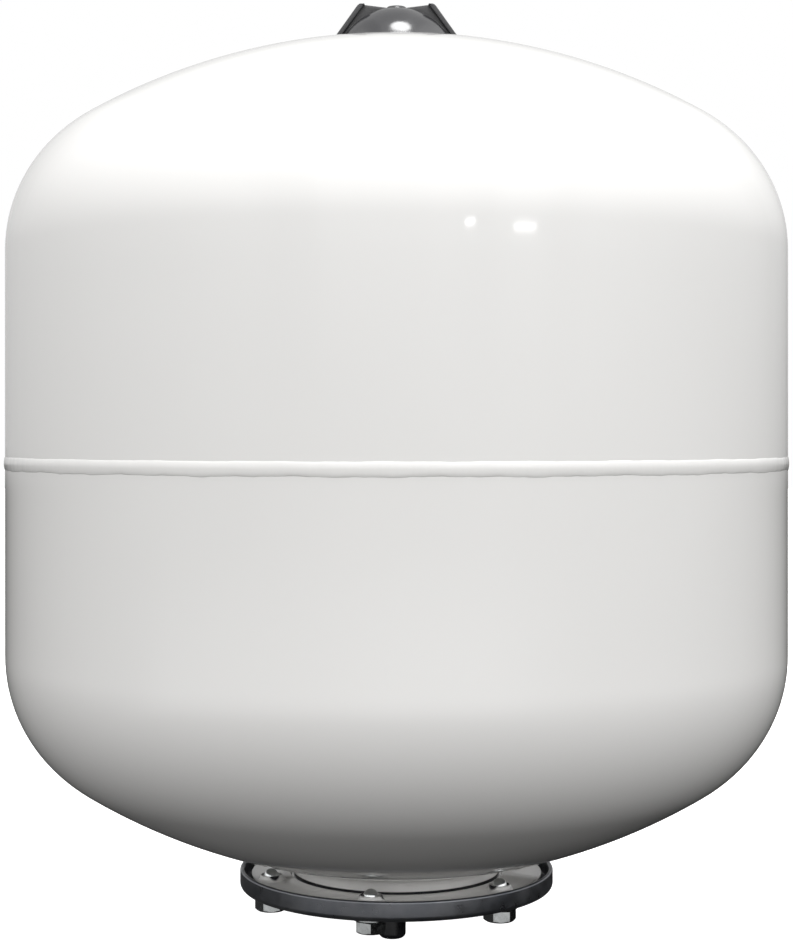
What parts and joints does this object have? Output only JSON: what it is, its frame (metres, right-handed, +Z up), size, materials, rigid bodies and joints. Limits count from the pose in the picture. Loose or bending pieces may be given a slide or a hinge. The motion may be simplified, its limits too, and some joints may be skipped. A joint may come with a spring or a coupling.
{
  "type": "expansion vessel",
  "caption": "Round welded steel heating expansion vessel with dished ends, bolted bottom flange, rubber membrane, gas valve and winged screw cap.",
  "frame": {"origin": "on the vessel's axis at its lowest point, the end of the transport plug's grip", "axes": "+Z up along the vessel's axis, -Y is the front, +X is to the right seen from the front"},
  "size_m": [0.365, 0.365, 0.4415],
  "materials": {
    "white_enamel": "gloss white powder coat",
    "flange_steel": "dull dark galvanised steel",
    "zinc_steel": "bright zinc plated",
    "spring_steel": "bright drawn wire",
    "brass": "turned",
    "rubber": "matt black",
    "black_plastic": "glossy moulded",
    "grey_plastic": "glossy moulded dark grey"
  },
  "bodies": {
    "vessel": {"upper_shell": "white_enamel", "lower_shell": "white_enamel", "seam_weld_bead": "white_enamel", "neck_flange_ring": "white_enamel", "counter_flange": "flange_steel", "water_nozzle": "flange_steel", "membrane_bag": "rubber", "valve_boss": "zinc_steel", "valve_stem": "brass", "valve_core": "brass", "valve_core_seal": "rubber", "valve_spring": "spring_steel", "flange_bolt_1": "zinc_steel", "flange_washer_1": "zinc_steel", "flange_bolt_2": "zinc_steel", "flange_washer_2": "zinc_steel", "flange_bolt_3": "zinc_steel", "flange_washer_3": "zinc_steel", "flange_bolt_4": "zinc_steel", "flange_washer_4": "zinc_steel", "flange_bolt_5": "zinc_steel", "flange_washer_5": "zinc_steel", "flange_bolt_6": "zinc_steel", "flange_washer_6": "zinc_steel"},
    "plug": {"nozzle_plug": "black_plastic"},
    "pin": {"valve_pin": "brass"},
    "dust_seal": {"dust_cap_seal": "rubber"},
    "dust_cap": {"dust_cap": "black_plastic"},
    "cap_seal": {"cap_seal_ring": "rubber"},
    "cap": {"protective_cap": "grey_plastic"}
  },
  "joints": [
    {"name": "cap_lift", "type": "slide", "parent": "vessel", "child": "cap_seal", "axis": [0, 0, 1], "range_m": [0, 0.0076]},
    {"name": "cap_turn", "type": "hinge", "parent": "cap_seal", "child": "cap", "pos_m": [0, 0, 0.424], "axis": [0, 0, 1], "range_deg": [0, 1080]},
    {"name": "dust_cap_lift", "type": "slide", "parent": "vessel", "child": "dust_seal", "axis": [0, 0, 1], "range_m": [0, 0.00397]},
    {"name": "dust_cap_turn", "type": "hinge", "parent": "dust_seal", "child": "dust_cap", "pos_m": [0, 0, 0.424], "axis": [0, 0, 1], "range_deg": [0, 1800]},
    {"name": "valve_pin_press", "type": "slide", "parent": "vessel", "child": "pin", "axis": [0, 0, -1], "range_m": [0, 0.0015], "stiffness_N_per_m": 400, "deforming": ["valve_spring"]},
    {"name": "plug_pull", "type": "slide", "parent": "vessel", "child": "plug", "axis": [0, 0, -1], "range_m": [0, 0.0155]}
  ],
  "couplings": [
    {"joint": "cap_lift", "follows": "cap_turn", "m_per_rad": 0.00039789},
    {"joint": "dust_cap_turn", "follows": "dust_cap_lift", "rad_per_m": 7913.2}
  ]
}
